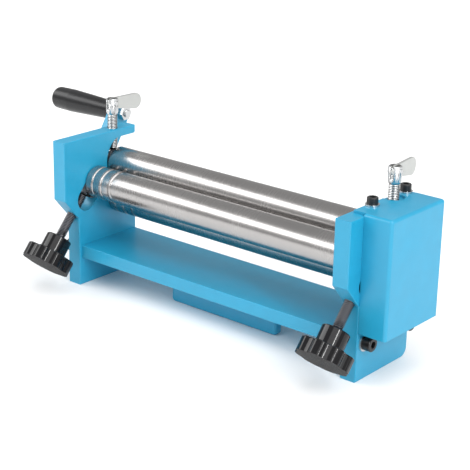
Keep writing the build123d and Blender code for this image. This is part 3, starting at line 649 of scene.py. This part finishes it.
def threaded_copy(name, node_name, point, direction):
    """A copy of a CAD screw whose plain shank carries a thread."""
    sizes = bpy.context.scene.slip_roll_sizes
    matrix = axis_matrix(point, direction)
    piece = node_copy(name, node_name)
    put_in_place(piece, matrix.inverted())
    heights = [vertex.co.z for vertex in piece.data.vertices if on_shank(vertex.co)]
    start, end = min(heights), max(heights)
    select_vertices(piece, on_shank)
    shrink = (SCREW_RADIUS - sizes.thread_depth + THREAD_SINK) / SCREW_RADIUS
    bpy.ops.transform.resize(value=(shrink, shrink, 1), center_override=(0, 0, 0))
    turned = thread(
        name + "_thread", SCREW_RADIUS, sizes.thread_depth, sizes.thread_pitch, end - start
    )
    put_in_place(turned, Matrix.Translation((0, 0, start)))
    only(piece)
    turned.select_set(True)
    bpy.ops.object.join()
    put_in_place(piece, matrix)
    bpy.ops.object.shade_smooth_by_angle(angle=SMOOTH_ANGLE)
    return piece


def finish_piece(piece, material_name, body, slot, *nodes):
    """Gives a new piece its finish and body, and hides the CAD nodes that it stands for. slot is
    not used.
    """
    piece.data.materials.clear()
    piece.data.materials.append(finish(material_name))
    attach(piece, body)
    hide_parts(*nodes)


# ---- Operators: one for each piece or group of like pieces ----------------------------------


class SLIPROLL_OT_frame(bpy.types.Operator):
    """Powder-coat the side plates, shelf, vise bar, gear cover and crank arm"""

    bl_idname = "slip_roll.frame"
    bl_label = "Painted frame"

    def execute(self, context):
        dress(PAINTED, "powder_coat")
        return {"FINISHED"}


class SLIPROLL_OT_rolls(bpy.types.Operator):
    """Finish the three ground steel rolls"""

    bl_idname = "slip_roll.rolls"
    bl_label = "Rolls"

    def execute(self, context):
        dress(ROLLS, "roll_steel")
        return {"FINISHED"}


class SLIPROLL_OT_drive(bpy.types.Operator):
    """Finish the journal blocks, gears, keys and bushes"""

    bl_idname = "slip_roll.drive"
    bl_label = "Blocks, gears and bushes"

    def execute(self, context):
        dress(BLOCKS + GEARS, "machined_steel")
        dress(BUSHES, "turned_bronze")
        return {"FINISHED"}


class SLIPROLL_OT_fasteners(bpy.types.Operator):
    """Finish the cap screws, washers, pins and nut"""

    bl_idname = "slip_roll.fasteners"
    bl_label = "Fasteners"

    def execute(self, context):
        dress(BLACK_FASTENERS, "oxide_screws")
        dress(BRIGHT_FASTENERS, "bright_zinc")
        return {"FINISHED"}


class SLIPROLL_OT_clamp_screws(bpy.types.Operator):
    """Cut the threads of the two clamp screws"""

    bl_idname = "slip_roll.clamp_screws"
    bl_label = "Clamp screws"

    def execute(self, context):
        for side, hand in HANDS:
            name = "clamp_screw_" + hand
            foot = Vector((side * CLAMP_SCREW_X, CLAMP_SCREW_Y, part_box(name)[0].z))
            piece = threaded_copy("threaded_" + name, name, foot, UPRIGHT)
            finish_piece(piece, "zinc_thread", "clamp_" + hand, "zinc", name)
        return {"FINISHED"}


class SLIPROLL_OT_levers(bpy.types.Operator):
    """Finish the folding levers"""

    bl_idname = "slip_roll.levers"
    bl_label = "Clamp levers"

    def execute(self, context):
        dress(("clamp_lever_left", "clamp_lever_right"), "satin_lever")
        return {"FINISHED"}


class SLIPROLL_OT_knob_screws(bpy.types.Operator):
    """Cut the threads of the two knob screws"""

    bl_idname = "slip_roll.knob_screws"
    bl_label = "Knob screws"

    def execute(self, context):
        for side, hand in HANDS:
            name = "knob_screw_" + hand
            start = Vector((side * FEED_START.x, FEED_START.y, FEED_START.z))
            piece = threaded_copy("threaded_" + name, name, start, FEED_AWAY)
            finish_piece(piece, "oxide_thread", "knob_" + hand, "black_oxide", name)
        return {"FINISHED"}


class SLIPROLL_OT_knobs(bpy.types.Operator):
    """Finish the star knobs and the crank grip"""

    bl_idname = "slip_roll.knobs"
    bl_label = "Knobs and grip"

    def execute(self, context):
        dress(("star_knob_left", "star_knob_right"), "knob_gloss")
        dress(("crank_grip",), "grip_satin")
        return {"FINISHED"}


class SLIPROLL_OT_stage(bpy.types.Operator):
    """Set the pale floor, the soft lights and the camera"""

    bl_idname = "slip_roll.stage"
    bl_label = "Stage"

    def execute(self, context):
        nothing_selected()
        bpy.ops.mesh.primitive_plane_add(size=FLOOR_WIDTH, location=(0, 0, 0))
        floor = context.object
        floor.name = "floor"
        paint = bpy.data.materials.new("floor_paint")
        paint.use_nodes = True
        shader = paint.node_tree.nodes["Principled BSDF"]
        shader.inputs["Base Color"].default_value = (*context.scene.slip_roll_colours.floor, 1)
        shader.inputs["Roughness"].default_value = 0.8
        shader.inputs["Specular IOR Level"].default_value = 0.1
        floor.data.materials.append(paint)

        world = bpy.data.worlds.new("studio")
        world.use_nodes = True
        tree = world.node_tree
        sky = tree.nodes["Background"].inputs
        sky["Color"].default_value = (1, 1, 1, 1)
        seen = node(tree, "LightPath").outputs["Is Camera Ray"]
        strength = maths(tree, "MULTIPLY_ADD", seen, SKY_SEEN - SKY_LIGHT, SKY_LIGHT)
        feed(tree, strength, sky["Strength"])
        context.scene.world = world
        context.scene.view_settings.view_transform = "Standard"

        for name, toward, away, size, power in SOFT_BOXES:
            place = AIM + Vector(toward).normalized() * away
            bpy.ops.object.light_add(type="AREA", location=place)
            light = context.object
            light.name = name
            light.data.shape = "RECTANGLE"
            light.data.size, light.data.size_y = size
            light.data.energy = power
            light.rotation_euler = (AIM - place).to_track_quat("-Z", "Y").to_euler()
        bpy.ops.object.light_add(type="SUN", location=CEILING_PLACE)
        ceiling = context.object
        ceiling.name = "ceiling_light"
        ceiling.data.energy = CEILING_POWER
        ceiling.data.angle = CEILING_SPREAD
        ceiling.rotation_euler = (AIM - ceiling.location).to_track_quat("-Z", "Y").to_euler()

        camera = bpy.data.objects.new("camera", bpy.data.cameras.new("camera"))
        context.scene.collection.objects.link(camera)
        turn = Matrix((CAMERA_RIGHT, CAMERA_UP, CAMERA_BACK)).transposed().to_4x4()
        camera.matrix_world = Matrix.Translation(CAMERA_PLACE) @ turn
        camera.data.sensor_width = CAMERA_SENSOR
        camera.data.lens = CAMERA_LENS
        camera.data.clip_start = CAMERA_NEAR
        camera.data.clip_end = CAMERA_FAR
        context.scene.camera = camera
        return {"FINISHED"}


PROPERTY_GROUPS = (SlipRollColours, SlipRollSizes)
OPERATORS = (
    SLIPROLL_OT_frame,
    SLIPROLL_OT_rolls,
    SLIPROLL_OT_drive,
    SLIPROLL_OT_fasteners,
    SLIPROLL_OT_clamp_screws,
    SLIPROLL_OT_levers,
    SLIPROLL_OT_knob_screws,
    SLIPROLL_OT_knobs,
    SLIPROLL_OT_stage,
)


class SLIPROLL_PT_panel(bpy.types.Panel):
    """Lists the pieces of the slip roll"""

    bl_idname = "SLIPROLL_PT_panel"
    bl_label = "Slip roll"
    bl_space_type = "VIEW_3D"
    bl_region_type = "UI"
    bl_category = "Slip roll"

    def draw(self, context):
        for operator in OPERATORS:
            self.layout.operator(operator.bl_idname)
        for group in (context.scene.slip_roll_colours, context.scene.slip_roll_sizes):
            box = self.layout.box()
            for name in group.__annotations__:
                box.prop(group, name)


def register():
    for group in (*PROPERTY_GROUPS, *OPERATORS, SLIPROLL_PT_panel):
        bpy.utils.register_class(group)
    bpy.types.Scene.slip_roll_colours = bpy.props.PointerProperty(type=SlipRollColours)
    bpy.types.Scene.slip_roll_sizes = bpy.props.PointerProperty(type=SlipRollSizes)


def unregister():
    del bpy.types.Scene.slip_roll_colours
    del bpy.types.Scene.slip_roll_sizes
    for group in (SLIPROLL_PT_panel, *reversed(OPERATORS), *reversed(PROPERTY_GROUPS)):
        bpy.utils.unregister_class(group)


def main():
    """Dresses the object piece by piece."""
    register()
    nothing_selected()
    bpy.ops.slip_roll.frame()
    bpy.ops.slip_roll.rolls()
    bpy.ops.slip_roll.drive()
    bpy.ops.slip_roll.fasteners()
    bpy.ops.slip_roll.clamp_screws()
    bpy.ops.slip_roll.levers()
    bpy.ops.slip_roll.knob_screws()
    bpy.ops.slip_roll.knobs()
    bpy.ops.slip_roll.stage()
    nothing_selected()


if __name__ == "__main__":
    main()
